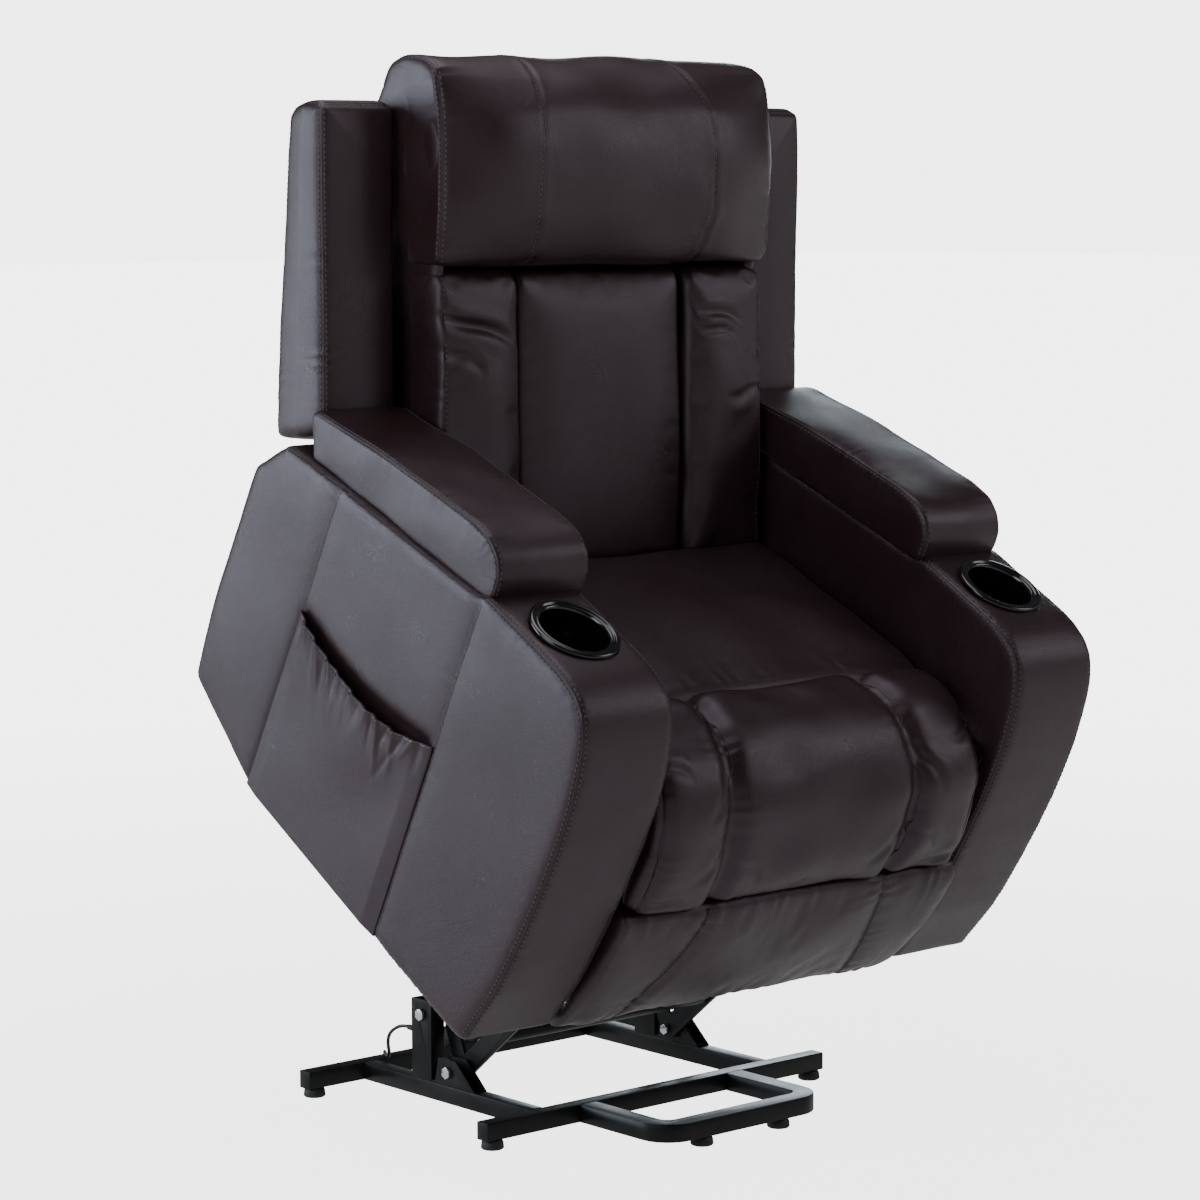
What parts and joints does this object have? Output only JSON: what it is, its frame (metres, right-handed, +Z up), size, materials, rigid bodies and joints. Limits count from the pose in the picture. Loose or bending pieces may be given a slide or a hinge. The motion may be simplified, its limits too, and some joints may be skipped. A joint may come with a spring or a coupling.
{
  "type": "power lift recliner chair",
  "caption": "Upholstered recliner with wings, cup holders and side pockets on a tubular lift base that raises and tips the seat forward; backrest and footrest move.",
  "frame": {"origin": "on the floor under the middle of the chair's bounding box, cord left out", "axes": "+Z up, the chair faces -Y, +X to the sitter's left"},
  "size_m": [0.933, 0.8843, 1.468],
  "materials": {
    "leather": "dark espresso brown smooth upholstery leather, satin",
    "base_steel": "black gloss powder coat",
    "link_steel": "black satin powder coat",
    "zinc_bolt": "bright zinc plated",
    "foot_rubber": "matte",
    "cord_rubber": "soft matte",
    "plug_plastic": "fine moulded texture",
    "actuator_plastic": "fine moulded texture",
    "rod_steel": "drawn tube",
    "frame_wood": "raw plywood and pine",
    "cup_plastic": "gloss black",
    "dust_fabric": "black non-woven dust cloth"
  },
  "bodies": {
    "base": {"base_rear_bar": "base_steel", "base_front_bar": "base_steel", "base_rail_right": "base_steel", "base_rail_left": "base_steel", "base_front_loop": "base_steel", "foot_rear_right": "foot_rubber", "foot_rear_left": "foot_rubber", "foot_front_right": "foot_rubber", "foot_front_left": "foot_rubber", "foot_loop_right": "foot_rubber", "foot_loop_left": "foot_rubber", "stanchion_right": "base_steel", "stanchion_left": "base_steel", "front_pivot_bolt_right": "zinc_bolt", "front_pivot_bolt_left": "zinc_bolt", "rear_pivot_bolt_right": "zinc_bolt", "rear_pivot_bolt_left": "zinc_bolt", "cord_strain_relief": "cord_rubber", "power_cord": "cord_rubber", "power_cord_coil": "cord_rubber", "power_plug": "plug_plastic"},
    "front_links": {"front_lift_link_right": "link_steel", "front_lift_link_left": "link_steel", "torque_tube": "link_steel"},
    "rear_links": {"rear_lift_link_right": "link_steel", "rear_lift_link_left": "link_steel"},
    "lift_actuator": {"lift_actuator_housing": "actuator_plastic"},
    "lift_rod": {"lift_actuator_rod": "rod_steel"},
    "seat": {"lift_plate_right": "link_steel", "lift_plate_left": "link_steel", "mechanism_plate_right": "link_steel", "mechanism_plate_left": "link_steel", "front_cross_tube": "link_steel", "rear_cross_tube": "link_steel", "seat_frame": "frame_wood", "seat_cushion": "leather", "arm_right": "leather", "arm_left": "leather", "arm_pad_right": "leather", "arm_pad_left": "leather", "cup_holder_right": "cup_plastic", "cup_holder_left": "cup_plastic", "side_pocket_right": "leather", "side_pocket_left": "leather", "rear_skirt_panel": "dust_fabric"},
    "back": {"back_frame": "frame_wood", "back_center_cushion": "leather", "back_bolster_right": "leather", "back_bolster_left": "leather", "headrest_cushion": "leather", "wing_right": "leather", "wing_left": "leather", "back_cover": "leather"},
    "recline_links": {"recline_link_right": "link_steel", "recline_link_left": "link_steel"},
    "footrest": {"footrest_board": "frame_wood", "footrest_roll": "leather", "footrest_flap": "leather"},
    "recline_actuator": {"recline_actuator_housing": "actuator_plastic"},
    "recline_rod": {"recline_actuator_rod": "rod_steel"}
  },
  "joints": [
    {"name": "lift", "type": "hinge", "parent": "base", "child": "front_links", "pos_m": [0, 0.16372, 0.058], "axis": [1, 0, 0], "range_deg": [0, 37.12]},
    {"name": "seat_tilt", "type": "hinge", "parent": "front_links", "child": "seat", "pos_m": [0, -0.09018, 0.26518], "axis": [1, 0, 0], "range_deg": [-68.92, 0]},
    {"name": "rear_link_pivot", "type": "hinge", "parent": "base", "child": "rear_links", "pos_m": [0, 0.22172, 0.131], "axis": [1, 0, 0], "range_deg": [0, 46.57]},
    {"name": "lift_actuator_pivot", "type": "hinge", "parent": "base", "child": "lift_actuator", "pos_m": [0, 0.33672, 0.062], "axis": [1, 0, 0], "range_deg": [0, 44.87]},
    {"name": "lift_actuator_stroke", "type": "slide", "parent": "lift_actuator", "child": "lift_rod", "axis": [0, -0.5839, 0.8118], "range_m": [-0.1585, 0]},
    {"name": "back_recline", "type": "hinge", "parent": "seat", "child": "back", "pos_m": [0, 0.17672, 0.719], "axis": [-1, 0, 0], "range_deg": [0, 42]},
    {"name": "recline_link_pivot", "type": "hinge", "parent": "seat", "child": "recline_links", "pos_m": [0, 0.07372, 0.5307], "axis": [1, 0, 0], "range_deg": [0, 21.43]},
    {"name": "footrest_lift", "type": "hinge", "parent": "seat", "child": "footrest", "pos_m": [0, -0.33211, 0.50429], "axis": [-1, 0, 0], "range_deg": [0, 75]},
    {"name": "recline_actuator_pivot", "type": "hinge", "parent": "seat", "child": "recline_actuator", "pos_m": [0, 0.09997, 0.52123], "axis": [-1, 0, 0], "range_deg": [0, 3.87]},
    {"name": "recline_actuator_stroke", "type": "slide", "parent": "recline_actuator", "child": "recline_rod", "axis": [0, -0.9623, -0.2719], "range_m": [0, 0.1343]}
  ],
  "couplings": [
    {"joint": "seat_tilt", "follows": "lift", "ratio": -1.8432},
    {"joint": "rear_link_pivot", "follows": "lift", "ratio": 1.2412},
    {"joint": "lift_actuator_pivot", "follows": "lift", "ratio": 1.1953},
    {"joint": "lift_actuator_stroke", "follows": "lift", "m_per_rad": -0.24316},
    {"joint": "recline_link_pivot", "follows": "back_recline", "ratio": 0.49821},
    {"joint": "recline_actuator_pivot", "follows": "footrest_lift", "ratio": 0.04493},
    {"joint": "recline_actuator_stroke", "follows": "footrest_lift", "m_per_rad": 0.10181}
  ]
}
